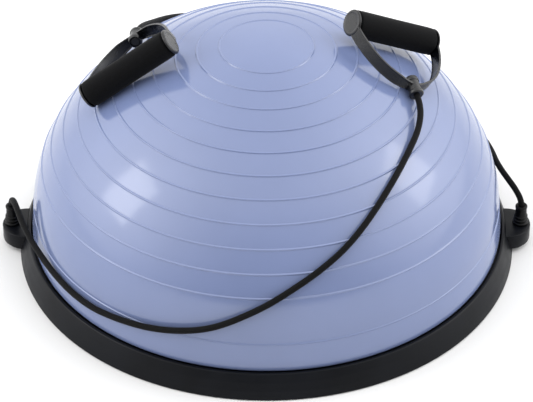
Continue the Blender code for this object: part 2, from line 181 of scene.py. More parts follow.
def revolve(profile, steps, ring=False):
    """Points and faces of a profile of (radius, height) turned round Z."""
    verts, faces, rows = [], [], []
    for r, z in profile:
        if r < 1e-6:
            rows.append([len(verts)])
            verts.append((0.0, 0.0, z))
        else:
            rows.append(list(range(len(verts), len(verts) + steps)))
            for k in range(steps):
                t = 2 * math.pi * k / steps
                verts.append((r * math.cos(t), r * math.sin(t), z))
    pairs = list(zip(rows, rows[1:])) + ([(rows[-1], rows[0])] if ring else [])
    for a, b in pairs:
        if len(a) == 1 and len(b) == 1:
            continue
        for k in range(steps):
            m = (k + 1) % steps
            if len(a) == 1:
                faces.append((a[0], b[k], b[m]))
            elif len(b) == 1:
                faces.append((a[k], b[0], a[m]))
            else:
                faces.append((a[k], b[k], b[m], a[m]))
    return verts, faces


def turned(name, profile, steps, material=None, ring=False, matrix=None, at=None, arc=4, smooth_angle=32.0):
    verts, faces = revolve(rounded(profile, ring, arc), steps, ring)
    if at:
        verts = [(x + at[0], y + at[1], z + at[2]) for x, y, z in verts]
    return add(name, verts, faces, material, matrix, smooth_angle)


def prism(outline, z0, z1):
    n = len(outline)
    verts = [(x, y, z0) for x, y in outline] + [(x, y, z1) for x, y in outline]
    faces = [tuple(range(n))[::-1], tuple(range(n, 2 * n))]
    faces += [(i, (i + 1) % n, n + (i + 1) % n, n + i) for i in range(n)]
    return verts, faces


def apply_modifiers(obj, smooth_angle=32.0):
    graph = bpy.context.evaluated_depsgraph_get()
    graph.update()
    mesh = bpy.data.meshes.new_from_object(obj.evaluated_get(graph), depsgraph=graph)
    old = obj.data
    obj.modifiers.clear()
    obj.data = mesh
    mesh.name = old.name + "_made"
    bpy.data.meshes.remove(old)
    finish_mesh(mesh, smooth_angle)
    return obj


def combine(obj, others, operation, smooth_angle=32.0):
    """obj joined with, or cut by, the other objects, which are removed afterwards."""
    for other in others:
        mod = obj.modifiers.new(operation.title(), "BOOLEAN")
        mod.operation = operation
        mod.solver = "EXACT"
        mod.object = other
    apply_modifiers(obj, smooth_angle)
    for other in others:
        mesh = other.data
        bpy.data.objects.remove(other, do_unlink=True)
        if mesh.users == 0:
            bpy.data.meshes.remove(mesh)
    return obj


def bevelled(obj, width, segments=2, angle=35.0, smooth_angle=32.0):
    mod = obj.modifiers.new("Bevel", "BEVEL")
    mod.width = width / 1000
    mod.segments = segments
    mod.limit_method = "ANGLE"
    mod.angle_limit = math.radians(angle)
    mod.harden_normals = False
    return apply_modifiers(obj, smooth_angle)


def round_points(count, radius, start=0.0):
    step = 2 * math.pi / count
    return [(radius * math.cos(start + i * step), radius * math.sin(start + i * step)) for i in range(count)]


# ---------------------------------------------------------------- materials
def new_material(name, colour, roughness, specular=0.5, metallic=0.0):
    mat = bpy.data.materials.new(name)
    mat.use_nodes = True
    tree = mat.node_tree
    shader = tree.nodes["Principled BSDF"]
    shader.inputs["Base Color"].default_value = (*colour, 1.0)
    shader.inputs["Roughness"].default_value = roughness
    shader.inputs["Specular IOR Level"].default_value = specular
    shader.inputs["Metallic"].default_value = metallic
    mat.diffuse_color = (*colour, 1.0)
    return mat, tree, shader


def noise(tree, scale, detail=3.0, roughness=0.55, coords=None):
    node = tree.nodes.new("ShaderNodeTexNoise")
    node.inputs["Scale"].default_value = scale
    node.inputs["Detail"].default_value = detail
    node.inputs["Roughness"].default_value = roughness
    tree.links.new((coords or object_coords(tree)).outputs["Object"], node.inputs["Vector"])
    return node


def object_coords(tree):
    for node in tree.nodes:
        if node.type == "TEX_COORD":
            return node
    return tree.nodes.new("ShaderNodeTexCoord")


def ramp(tree, source, stops):
    node = tree.nodes.new("ShaderNodeValToRGB")
    elements = node.color_ramp.elements
    while len(elements) > 2:
        elements.remove(elements[-1])
    for element, (pos, value) in zip(elements, stops[:2]):
        element.position = pos
        element.color = value if len(value) == 4 else (*value, 1.0)
    for pos, value in stops[2:]:
        element = elements.new(pos)
        element.color = value if len(value) == 4 else (*value, 1.0)
    tree.links.new(source, node.inputs["Fac"])
    return node


def spread(tree, source, low, high):
    node = tree.nodes.new("ShaderNodeMapRange")
    node.inputs["From Min"].default_value = 0.3
    node.inputs["From Max"].default_value = 0.7
    node.inputs["To Min"].default_value = low
    node.inputs["To Max"].default_value = high
    tree.links.new(source, node.inputs["Value"])
    return node


def bump(tree, shader, height, strength, distance, before=None):
    node = tree.nodes.new("ShaderNodeBump")
    node.inputs["Strength"].default_value = strength
    node.inputs["Distance"].default_value = distance
    tree.links.new(height, node.inputs["Height"])
    if before is not None:
        tree.links.new(before.outputs["Normal"], node.inputs["Normal"])
    tree.links.new(node.outputs["Normal"], shader.inputs["Normal"])
    return node


def plastic(name, colour, roughness, specular=0.4, grain=900.0, grain_depth=0.00005, strength=0.35, mottle=0.25):
    """Moulded plastic: a fine spark-eroded grain, slow colour mottle and uneven sheen."""
    mat, tree, shader = new_material(name, colour, roughness, specular)
    slow = noise(tree, 14.0, 3.0)
    dark = tuple(c * (1.0 - mottle) for c in colour)
    light = tuple(c * (1.0 + mottle) for c in colour)
    tint = ramp(tree, slow.outputs["Fac"], [(0.35, dark), (0.65, light)])
    tree.links.new(tint.outputs["Color"], shader.inputs["Base Color"])
    sheen = noise(tree, 60.0, 4.0)
    level = spread(tree, sheen.outputs["Fac"], roughness - 0.05, roughness + 0.06)
    tree.links.new(level.outputs["Result"], shader.inputs["Roughness"])
    fine = noise(tree, grain, 2.0)
    bump(tree, shader, fine.outputs["Fac"], strength, grain_depth)
    return mat


def dome_vinyl():
    colour = (0.150, 0.190, 0.340)
    mat, tree, shader = new_material("dome_vinyl", colour, 0.18, 0.75)
    slow = noise(tree, 5.0, 4.0, 0.6)
    tint = ramp(tree, slow.outputs["Fac"], [
        (0.30, tuple(c * 0.94 for c in colour)), (0.70, tuple(min(1.0, c * 1.05) for c in colour))])
    tree.links.new(tint.outputs["Color"], shader.inputs["Base Color"])
    smears = noise(tree, 22.0, 5.0, 0.6)
    level = spread(tree, smears.outputs["Fac"], 0.11, 0.17)
    tree.links.new(level.outputs["Result"], shader.inputs["Roughness"])
    waves = noise(tree, 9.0, 1.0, 0.4)
    first = bump(tree, shader, waves.outputs["Fac"], 0.12, 0.0012)
    peel = noise(tree, 420.0, 2.0, 0.5)
    bump(tree, shader, peel.outputs["Fac"], 0.10, 0.00006, before=first)
    shader.inputs["Subsurface Weight"].default_value = 0.0
    return mat


def foam():
    colour = (0.0022, 0.0023, 0.0028)
    mat, tree, shader = new_material("grip_foam", colour, 0.78, 0.08)
    pores = tree.nodes.new("ShaderNodeTexVoronoi")
    pores.inputs["Scale"].default_value = 620.0
    tree.links.new(object_coords(tree).outputs["Object"], pores.inputs["Vector"])
    grain = noise(tree, 300.0, 5.0, 0.65)
    tint = ramp(tree, grain.outputs["Fac"], [(0.34, tuple(c * 0.55 for c in colour)), (0.72, tuple(c * 1.75 for c in colour))])
    tree.links.new(tint.outputs["Color"], shader.inputs["Base Color"])
    level = spread(tree, grain.outputs["Fac"], 0.7, 0.9)
    tree.links.new(level.outputs["Result"], shader.inputs["Roughness"])
    shader.inputs["Sheen Weight"].default_value = 0.03
    shader.inputs["Sheen Roughness"].default_value = 0.5
    first = bump(tree, shader, pores.outputs["Distance"], 0.5, 0.00035)
    bump(tree, shader, grain.outputs["Fac"], 0.45, 0.0004, before=first)
    return mat


def rubber(name, colour, roughness=0.55, specular=0.35):
    mat, tree, shader = new_material(name, colour, roughness, specular)
    slow = noise(tree, 45.0, 4.0)
    tint = ramp(tree, slow.outputs["Fac"], [(0.3, tuple(c * 0.75 for c in colour)), (0.7, tuple(c * 1.35 for c in colour))])
    tree.links.new(tint.outputs["Color"], shader.inputs["Base Color"])
    level = spread(tree, slow.outputs["Fac"], roughness - 0.08, roughness + 0.1)
    tree.links.new(level.outputs["Result"], shader.inputs["Roughness"])
    fine = noise(tree, 1400.0, 2.0)
    bump(tree, shader, fine.outputs["Fac"], 0.3, 0.00005)
    return mat


def steel():
    mat, tree, shader = new_material("screw_steel", (0.56, 0.56, 0.57), 0.3, 0.5, 1.0)
    scratch = noise(tree, 350.0, 4.0)
    level = spread(tree, scratch.outputs["Fac"], 0.22, 0.42)
    tree.links.new(level.outputs["Result"], shader.inputs["Roughness"])
    tint = ramp(tree, scratch.outputs["Fac"], [(0.3, (0.46, 0.46, 0.47)), (0.7, (0.62, 0.62, 0.62))])
    tree.links.new(tint.outputs["Color"], shader.inputs["Base Color"])
    return mat


def braid(name, around, pitch):
    """A two-way woven sleeve over the elastic core: strands run both ways round the band, from the piece's own UV map."""
    colour = (0.0026, 0.0026, 0.0030)
    mat, tree, shader = new_material(name, colour, 0.62, 0.08)
    uv = tree.nodes.new("ShaderNodeUVMap")
    uv.uv_map = "along"
    split = tree.nodes.new("ShaderNodeSeparateXYZ")
    tree.links.new(uv.outputs["UV"], split.inputs["Vector"])

    def math_node(operation, a, b=None):
        node = tree.nodes.new("ShaderNodeMath")
        node.operation = operation
        for k, value in enumerate((a, b)):
            if value is None:
                continue
            if isinstance(value, (int, float)):
                node.inputs[k].default_value = value
            else:
                tree.links.new(value, node.inputs[k])
        return node.outputs[0]

    turns = math_node("MULTIPLY", split.outputs["X"], 2 * math.pi * around)
    steps = math_node("MULTIPLY", split.outputs["Y"], 2 * math.pi / pitch)
    one = math_node("SINE", math_node("ADD", turns, steps))
    two = math_node("SINE", math_node("SUBTRACT", turns, steps))
    over = math_node("MULTIPLY", one, two)
    strands = math_node("MAXIMUM", math_node("ABSOLUTE", one), math_node("ABSOLUTE", two))
    weave = math_node("ADD", math_node("MULTIPLY", over, 0.35), math_node("MULTIPLY", strands, 0.65))
    # the weave pattern paints shade into the gaps between strands (down to 0.45x) and a painted sheen onto the strand
    # crowns (up to 2.2x) of the one black fibre
    tint = ramp(tree, weave, [(0.2, tuple(c * 0.45 for c in colour)), (0.9, tuple(c * 2.2 for c in colour))])
    tree.links.new(tint.outputs["Color"], shader.inputs["Base Color"])
    fibre = noise(tree, 900.0, 3.0)
    level = spread(tree, fibre.outputs["Fac"], 0.55, 0.72)
    tree.links.new(level.outputs["Result"], shader.inputs["Roughness"])
    first = bump(tree, shader, weave, 0.8, 0.0004)
    bump(tree, shader, fibre.outputs["Fac"], 0.25, 0.0001, before=first)
    shader.inputs["Sheen Weight"].default_value = 0.05
    shader.inputs["Sheen Roughness"].default_value = 0.4
    return mat


M_PLATFORM = plastic("platform_plastic", (0.0032, 0.0038, 0.0056), 0.36, 0.14, 700.0, 0.00008)
M_CLAMP = plastic("clamp_plastic", (0.0032, 0.0034, 0.0044), 0.45, 0.15)
M_DOME = dome_vinyl()
M_VALVE = plastic("valve_vinyl", (0.150, 0.190, 0.340), 0.28, 0.7, 500.0, 0.00003, 0.2, 0.04)
M_PLUG = plastic("plug_vinyl", (0.36, 0.42, 0.60), 0.3, 0.5, 500.0, 0.00003, 0.2, 0.04)
M_STEEL = steel()
M_PAD = rubber("pad_rubber", (0.010, 0.010, 0.011), 0.7, 0.3)
M_SLEEVE = rubber("sleeve_rubber", (0.0025, 0.0025, 0.0030), 0.36, 0.16)
M_STOP = plastic("stop_plastic", (0.012, 0.012, 0.013), 0.4)
M_CORE = plastic("core_plastic", (0.02, 0.02, 0.022), 0.45)
M_STIRRUP = plastic("stirrup_plastic", (0.0030, 0.0034, 0.0046), 0.26, 0.52, 650.0, 0.0001, 0.5, 0.3)
M_FOAM = foam()
M_BRAID = braid("band_braid", 8, 0.0032)


def dress(obj, body, slot, *nodes):
    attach(obj, body)
    if nodes:
        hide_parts(*nodes)
    return obj


def repaint(node, material):
    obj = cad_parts[node]
    if not obj.material_slots:
        obj.data.materials.append(material)
    for slot in obj.material_slots:
        slot.material = material


# ---------------------------------------------------------------- bands (free cords)
def smooth_line(controls, before, after, per_span=2):
    k = [Vector(before)] + [Vector(c) for c in controls] + [Vector(after)]
    line = []
    for i in range(1, len(k) - 2):
        p0, p1, p2, p3 = k[i - 1:i + 3]
        t0 = 0.0
        t1 = t0 + (p1 - p0).length ** 0.5
        t2 = t1 + (p2 - p1).length ** 0.5
        t3 = t2 + (p3 - p2).length ** 0.5
        for j in range(per_span):
            t = t1 + (t2 - t1) * j / per_span
            a1 = (t1 - t) / (t1 - t0) * p0 + (t - t0) / (t1 - t0) * p1
            a2 = (t2 - t) / (t2 - t1) * p1 + (t - t1) / (t2 - t1) * p2
            a3 = (t3 - t) / (t3 - t2) * p2 + (t - t2) / (t3 - t2) * p3
            b1 = (t2 - t) / (t2 - t0) * a1 + (t - t0) / (t2 - t0) * a2
            b2 = (t3 - t) / (t3 - t1) * a2 + (t - t1) / (t3 - t1) * a3
            line.append((t2 - t) / (t2 - t1) * b1 + (t - t1) / (t2 - t1) * b2)
    line.append(k[-2])
    return line


def band_route(controls, spec, per_span):
    matrix = frame_of(spec)
    out = matrix @ Vector(mm(0, BAND_OUT_Y, 0)) * 1000
    deep = matrix @ Vector(mm(0, BAND_IN_Y, 0)) * 1000
    start = Vector(controls[0])
    controls = [Vector(c) for c in controls] + [out]
    middle = smooth_line(controls, start - Vector((0, 0, 7)), out + (deep - out).normalized() * 9, per_span)
    straight = [start + Vector((0, 0, 7.8 - start.z)) + Vector((0, 0, (start.z - 7.8) * k / 10)) for k in range(10)]
    tail = [out + (deep - out) * k / 5 for k in range(1, 6)]
    return straight + middle + tail


def band(name, controls, spec):
    line = band_route(controls, spec, 4)
    # even steps along the route, so that the weave keeps its size
    points = np.array([p[:] for p in line])
    gaps = np.linalg.norm(np.diff(points, axis=0), axis=1)
    along = np.concatenate([[0.0], np.cumsum(gaps)])
    total = along[-1]
    count = int(total / 1.6)
    where = np.linspace(0, total, count + 1)
    points = np.stack([np.interp(where, along, points[:, k]) for k in range(3)], axis=1)
    smooth = points.copy()
    for _ in range(2):
        smooth[1:-1] = (points[:-2] + 2 * points[1:-1] + points[2:]) / 4
        points = smooth.copy()
    tangents = np.gradient(points, axis=0)
    tangents /= np.linalg.norm(tangents, axis=1)[:, None]
    sides = 20
    normal = np.cross(tangents[0], [0.0, 1.0, 0.0])
    normal /= np.linalg.norm(normal)
    verts, faces, uvs = [], [], []
    for i in range(count + 1):
        t = tangents[i]
        normal = normal - t * np.dot(normal, t)
        normal /= np.linalg.norm(normal)
        side = np.cross(t, normal)
        for k in range(sides):
            a = 2 * math.pi * k / sides
            verts.append(points[i] + BAND_R * (math.cos(a) * normal + math.sin(a) * side))
    for i in range(count):
        for k in range(sides):
            m = (k + 1) % sides
            faces.append((i * sides + k, i * sides + m, (i + 1) * sides + m, (i + 1) * sides + k))
            u0, u1 = k / sides, (k + 1) / sides
            v0, v1 = where[i] / 1000, where[i + 1] / 1000
            uvs += [(u0, v0), (u1, v0), (u1, v1), (u0, v1)]
    faces.append(tuple(range(sides))[::-1])
    uvs += [(0.0, 0.0)] * sides
    faces.append(tuple(count * sides + k for k in range(sides)))
    uvs += [(0.0, total / 1000)] * sides
    mesh = bpy.data.meshes.new(name)
    mesh.from_pydata((np.array(verts) / 1000).tolist(), [], faces)
    layer = mesh.uv_layers.new(name="along")
    layer.data.foreach_set("uv", [c for uv in uvs for c in uv])
    for poly in mesh.polygons:
        poly.use_smooth = len(poly.vertices) == 4
    mesh.materials.append(M_BRAID)
    mesh.update()
    obj = bpy.data.objects.new(name, mesh)
    scene.collection.objects.link(obj)
    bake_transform(obj)
    path = [tuple(p / 1000) for p in points[::3]]
    if count % 3:
        path.append(tuple(points[-1] / 1000))
    return obj


front = band("front_band_braid", FRONT_BAND, RIGHT)
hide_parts("front_band")
back = band("back_band_braid", BACK_BAND, LEFT)
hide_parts("back_band")

# ---------------------------------------------------------------- dome skin with its moulded ridges
RIDGE_W, RIDGE_H = 2.9, 0.95


def dome_profile():
    """(r, z) of the smooth section from the pole down to the neck, finely spaced."""
    pts = []
    for k in range(0, 721):
        t = math.pi / 2 * k / 720
        pts.append((DOME_A * math.sin(t) ** (2 / DOME_N), DOME_ZC + DOME_B * max(0.0, math.cos(t)) ** (2 / DOME_N)))
    skirt = [(DOME_A, DOME_ZC, 0.0)] + [(r, z, 0.0) for r, z in DOME_SKIRT] + [(NECK_R + 0.1, 26.5, 0.0)]
    pts += [(p.x, p.y) for p in smooth_line(skirt, (DOME_A, 72.0, 0.0), (254.0, 26.3, 0.0), 8)[1:]]
    return np.array(pts)


raw = dome_profile()
steps_ = np.linalg.norm(np.diff(raw, axis=0), axis=1)
arc_at = np.concatenate([[0.0], np.cumsum(steps_)])
ridge_at = [float(arc_at[np.argmin(np.abs(raw[:721, 1] - z))]) for z in RIDGE_Z[:-1]] + [float(arc_at[720])]
stations = set(np.round(np.linspace(0, arc_at[-1], 84), 3).tolist()) | set(np.round(np.arange(arc_at[-1] - 24.0, arc_at[-1], 1.0), 3).tolist())
for s0 in ridge_at:
    stations = {s for s in stations if abs(s - s0) > RIDGE_W * 0.95}
    stations |= {round(s0 + RIDGE_W * f, 3) for f in (-0.8, -0.58, -0.5, -0.4, -0.28, -0.14, 0.0, 0.14, 0.28, 0.4, 0.5, 0.58, 0.8)}
stations = np.array(sorted(s for s in stations if 0 <= s <= arc_at[-1]))
base_r, base_z = np.interp(stations, arc_at, raw[:, 0]), np.interp(stations, arc_at, raw[:, 1])
tr = np.interp(stations + 0.8, arc_at, raw[:, 0]) - np.interp(stations - 0.8, arc_at, raw[:, 0])
tz = np.interp(stations + 0.8, arc_at, raw[:, 1]) - np.interp(stations - 0.8, arc_at, raw[:, 1])
length_ = np.hypot(tr, tz)
nr, nz = -tz / length_, tr / length_
lift = np.zeros_like(stations)
for s0 in ridge_at:
    d = np.abs(stations - s0) / RIDGE_W
    lift = np.maximum(lift, np.where(d < 0.5, RIDGE_H * np.clip(np.cos(math.pi * d), 0, 1) ** 1.3, 0.0))
profile = [(max(0.0, r + a * h), z + b * h) for r, z, a, b, h in zip(base_r, base_z, nr, nz, lift)]
profile[0] = (0.0, DOME_ZC + DOME_B)
profile += [(NECK_R, 26.0), (NECK_R, 16.4), (BEAD_R, 16.4), (BEAD_R, 7.4), (0, 7.4)]
verts_, faces_ = revolve(profile, 224)
dome = add("dome_skin", verts_, faces_, M_DOME, smooth_angle=50.0)
ALONG_Y = Matrix(((1, 0, 0, 0), (0, 0, 1, 0), (0, -1, 0, VALVE_Z / 1000), (0, 0, 0, 1)))
combine(dome, [turned("valve_hole", [(0, 285), (6.95, 285), (6.95, 256), (0, 256)], 40, matrix=ALONG_Y)], "DIFFERENCE", 50.0)
dress(dome, "trainer", "dome_vinyl", "dome_bladder")

collar = turned("valve_collar_ring", [
    (4.4, 276.2, 0.5), (9.6, 276.2, 1.2), (11.0, 274.8, 0.6), (11.0, 273.0, 0.2), (6.75, 272.6), (6.75, 265.0, 0.5), (4.4, 265.0, 0.4)],
    48, M_VALVE, ring=True, matrix=ALONG_Y)
dress(collar, "trainer", "valve_vinyl", "valve_collar")
plug = turned("valve_plug_cap", [
    (0, 278.2), (3.2, 278.2, 0.6), (4.0, 279.0, 0.5), (7.0, 279.0, 0.8), (8.0, 278.0, 0.5), (8.0, 276.5, 0.3), (4.15, 276.5, 0.3),
    (4.15, 271.0, 0.2), (4.3, 270.4, 0.2), (4.3, 269.4, 0.2), (4.0, 268.8, 0.2), (4.0, 263.5, 0.8), (3.2, 262.0, 0.4), (0, 262.0)],
    48, M_PLUG, matrix=ALONG_Y)
dress(plug, "plug", "plug_vinyl", "valve_plug")

# ---------------------------------------------------------------- base platform
platform = turned("platform_shell", [
    (0, 5.0), (138.5, 5.0, 0.6), (138.5, 7.0, 0.6), (141.5, 7.0, 0.6), (141.5, 5.0, 0.6), (250, 5.0, 2.0), (253, 7.0, 1.5),
    (278.2, 7.0, 0.8), (278.2, 29.4, 0.4), (278.9, 30.3, 0.4), (281.5, 30.3, 1.0), (282.5, 29.0, 1.0), (286.1, 20.5, 14.0), (289.6, 11.0, 14.0),
    (292.5, 1.6, 0.8), (291.7, 0.5, 0.5), (288.5, 0.5, 0.5), (286.0, 2.0, 0.8), (0, 2.0)], 224, M_PLATFORM, arc=4, smooth_angle=38.0)


def ear_outline(side, grow=0.0, steps=40):
    outline = []
    for i in range(steps + 1):
        a = -math.pi / 2 + math.pi * i / steps
        outline.append((side * (EAR_X + (EAR_R + grow) * math.cos(a)), (EAR_R + grow) * math.sin(a)))
    for i in range(9):
        y = (EAR_R + grow) * (1 - i / 4)
        outline.append((side * math.sqrt(281.4 ** 2 - y * y), y))
    return outline


ears = []
for side in (-1, 1):
    v, f = prism(ear_outline(side), EAR_Z0, EAR_Z1)
    ear = add(f"ear_{side}", v, f, M_PLATFORM)
    bevelled(ear, 1.3, 3, 50.0)
    ears.append(ear)
combine(platform, ears, "UNION", 38.0)
cutters = []
for side in (-1, 1):
    cutters.append(turned(f"pocket_{side}", [(0, 14.0), (9.2, 14.0, 0.6), (9.2, 4.5), (0, 4.5)], 48, at=(side * ANCHOR_X, 0, 0)))
    cutters.append(turned(f"hole_{side}", [(0, 27.0), (6.35, 27.0), (6.35, 12.0), (0, 12.0)], 48, at=(side * ANCHOR_X, 0, 0)))
for i, (x, y) in enumerate(round_points(PADS, PAD_PCR, math.pi / 6)):
    cutters.append(turned(f"pad_recess_{i}", [(0, 3.3), (18.4, 3.3), (18.4, 0.0), (0, 0.0)], 48, at=(x, y, 0)))
for i, (x, y) in enumerate(round_points(CLAMP_SCREWS, SCREW_PCR, math.pi / 8)):
    cutters.append(turned(f"head_recess_{i}", [(0, 9.0), (2.5, 9.0), (2.5, 4.4), (4.8, 4.4), (4.8, 0.0), (0, 0.0)], 32, at=(x, y, 0)))
# shallow moulded grooves of the underside: two rings
for i, r in enumerate((96.0, 180.0)):
    cutters.append(turned(f"groove_{i}", [(r - 1.6, 2.9), (r + 1.6, 2.9), (r + 2.2, 1.0), (r - 2.2, 1.0)], 160, ring=True))
combine(platform, cutters, "DIFFERENCE", 38.0)
dress(platform, "trainer", "platform_plastic", "base_platform")

clamp = turned("clamp_ring_body", [
    (262.2, 25.0, 0.5), (277.0, 25.0, 0.8), (277.8, 24.2, 0.4), (277.8, 7.35, 0.3), (270.1, 7.35, 0.3), (270.1, 16.8, 0.3), (261.4, 16.8, 0.3),
    (261.4, 24.2, 0.5)], 192, M_CLAMP, ring=True, arc=3)
combine(clamp, [turned(f"bore_{i}", [(0, 20.5), (2.5, 20.5), (2.5, 6.0), (0, 6.0)], 20, at=(x, y, 0))
                for i, (x, y) in enumerate(round_points(CLAMP_SCREWS, SCREW_PCR, math.pi / 8))], "DIFFERENCE")
dress(clamp, "trainer", "clamp_plastic", "clamp_ring")

# ---------------------------------------------------------------- screws and foot pads
screw_source = turned("screw_source", [
    (0, 20.0), (1.2, 20.0, 0.3), (1.95, 18.6), (1.95, 4.05, 0.2), (4.3, 4.05, 0.2), (4.3, 3.0, 0.4), (3.2, 2.2, 1.0), (0, 2.1)], 32, M_STEEL)
slots_ = []
for i, (a, b) in enumerate(((0.45, 2.4), (2.4, 0.45))):
    v, f = prism([(-a, -b), (a, -b), (a, b), (-a, b)], 1.5, 3.3)
    slots_.append(add(f"slot_{i}", v, f))
combine(screw_source, slots_, "DIFFERENCE")
for i, (x, y) in enumerate(round_points(CLAMP_SCREWS, SCREW_PCR, math.pi / 8), 1):
    mesh = screw_source.data.copy()
    mesh.transform(Matrix.Translation(mm(x, y, 0)) @ Matrix.Rotation(0.7 * i, 4, "Z"))
    obj = bpy.data.objects.new(f"screw_{i}_steel", mesh)
    scene.collection.objects.link(obj)
    dress(obj, "trainer", "screw_steel", f"clamp_screw_{i}")
bpy.data.objects.remove(screw_source, do_unlink=True)

for i, (x, y) in enumerate(round_points(PADS, PAD_PCR, math.pi / 6), 1):
    pad = turned(f"pad_{i}_rubber", [
        (0, 3.0), (18.0, 3.0, 0.3), (18.0, 0.7, 0.5), (17.3, 0.0, 0.4), (14.0, 0.0), (13.4, 0.7), (11.6, 0.7), (11.0, 0.0), (7.4, 0.0),
        (6.8, 0.7), (5.2, 0.7), (4.6, 0.0), (0, 0.0)], 48, M_PAD, at=(x, y, 0))
    dress(pad, "trainer", "pad_rubber", f"foot_pad_{i}")

# ---------------------------------------------------------------- ear sleeves and stops
for side, name in ((-1, "left"), (1, "right")):
    sleeve = turned(f"{name}_sleeve_rubber", [
        (4.0, 50.4, 0.3), (5.0, 51.0, 0.4), (6.3, 51.0, 0.7), (7.1, 50.0, 0.6), (7.1, 47.8, 0.5), (6.5, 46.6, 1.2), (6.9, 38.8, 1.0), (7.0, 37.2, 0.3),
        (8.1, 36.4, 0.5), (8.1, 34.6, 0.5), (7.1, 33.8, 0.3), (7.2, 32.8, 0.3), (8.7, 32.0, 0.5), (8.7, 30.4, 0.5), (7.7, 29.6, 0.3),
        (7.8, 28.6, 0.3), (9.3, 27.8, 0.5), (9.5, 25.35, 0.3), (6.0, 25.35), (6.0, 13.2), (3.95, 13.2), (3.95, 49.0)],
        48, M_SLEEVE, ring=True, at=(side * ANCHOR_X, 0, 0), arc=3)
    dress(sleeve, "trainer", "sleeve_rubber", f"{name}_band_sleeve")
    stop = turned(f"{name}_stop_ring", [
        (3.95, 12.8, 0.4), (7.0, 12.8, 0.5), (7.8, 12.0, 0.3), (7.8, 7.2, 0.3), (7.0, 6.4, 0.5), (3.95, 6.4, 0.4)],
        40, M_STOP, ring=True, at=(side * ANCHOR_X, 0, 0), arc=3)
    dress(stop, "trainer", "stop_plastic", f"{name}_band_stop")

# ---------------------------------------------------------------- handles
STRAP = [(59.7, 6.0), (59.4, 13.0), (58.0, 20.5), (55.4, 29.5), (51.6, 39.0), (46.5, 48.9), (40.1, 58.4),
         (32.8, 66.5), (24.8, 73.0), (16.3, 77.8), (8.0, 80.8), (0.0, 81.9)]
ALONG_X = Matrix(((0, 0, 1, 0), (0, 1, 0, 0), (-1, 0, 0, 0), (0, 0, 0, 1)))
ALONG_MINUS_X = Matrix(((0, 0, -1, 0), (0, 1, 0, 0), (1, 0, 0, 0), (0, 0, 0, 1)))
UP_Y = Matrix(((1, 0, 0, 0), (0, 0, 1, 0), (0, -1, 0, 0), (0, 0, 0, 1)))


def strap_line():
    """The strap's centreline as a smooth curve, in local mm."""
    pts = STRAP + [(-x, y) for x, y in reversed(STRAP[:-1])]
    first = (59.7, -2.0, 0.0)
    last = (-59.7, -2.0, 0.0)
    line = smooth_line([(x, y, 0.0) for x, y in pts], first, last, 5)
    return [(p.x, p.y) for p in line]


def strap_section():
    """(outward offset, local z) round the strap: raised rims along both edges, fine lengthwise ridges on the outer face."""
    half, web, rim = 7.75, 0.85, 1.45
    outer = [(rim - 0.45, -half), (rim, -half + 0.4), (rim, -half + 1.5), (web, -half + 2.0)]
    ribs, z0, z1 = 6, -half + 2.3, half - 2.3
    for k in range(ribs):
        a = z0 + (z1 - z0) * k / ribs
        w = (z1 - z0) / ribs
        outer += [(web, a + w * 0.18), (web + 0.34, a + w * 0.36), (web + 0.34, a + w * 0.64), (web, a + w * 0.82)]
    outer += [(web, half - 2.0), (rim, half - 1.5), (rim, half - 0.4), (rim - 0.45, half)]
    inner = [(-rim + 0.45, half), (-rim, half - 0.4), (-rim, half - 1.5), (-web, half - 2.0),
             (-web, -half + 2.0), (-rim, -half + 1.5), (-rim, -half + 0.4), (-rim + 0.45, -half)]
    mid = [(0.0, half - 0.25)]
    low = [(0.0, -half + 0.25)]
    return outer + mid + inner + low


def strap_mesh(name):
    line = strap_line()
    section = strap_section()
    n = len(section)
    verts, faces = [], []
    for i, (x, y) in enumerate(line):
        a, b = line[max(i - 1, 0)], line[min(i + 1, len(line) - 1)]
        d = Vector((b[0] - a[0], b[1] - a[1])).normalized()
        normal = Vector((d.y, -d.x))
        narrow = 0.78 + 0.22 * min(1.0, max(0.0, (abs(x) - 8.0) / 14.0))
        for off, z in section:
            verts.append((x + normal.x * off, y + normal.y * off, z * narrow))
    for i in range(len(line) - 1):
        for k in range(n):
            m = (k + 1) % n
            faces.append((i * n + k, i * n + m, (i + 1) * n + m, (i + 1) * n + k))
    faces.append(tuple(range(n))[::-1])
    faces.append(tuple((len(line) - 1) * n + k for k in range(n)))
    return add(name, verts, faces)


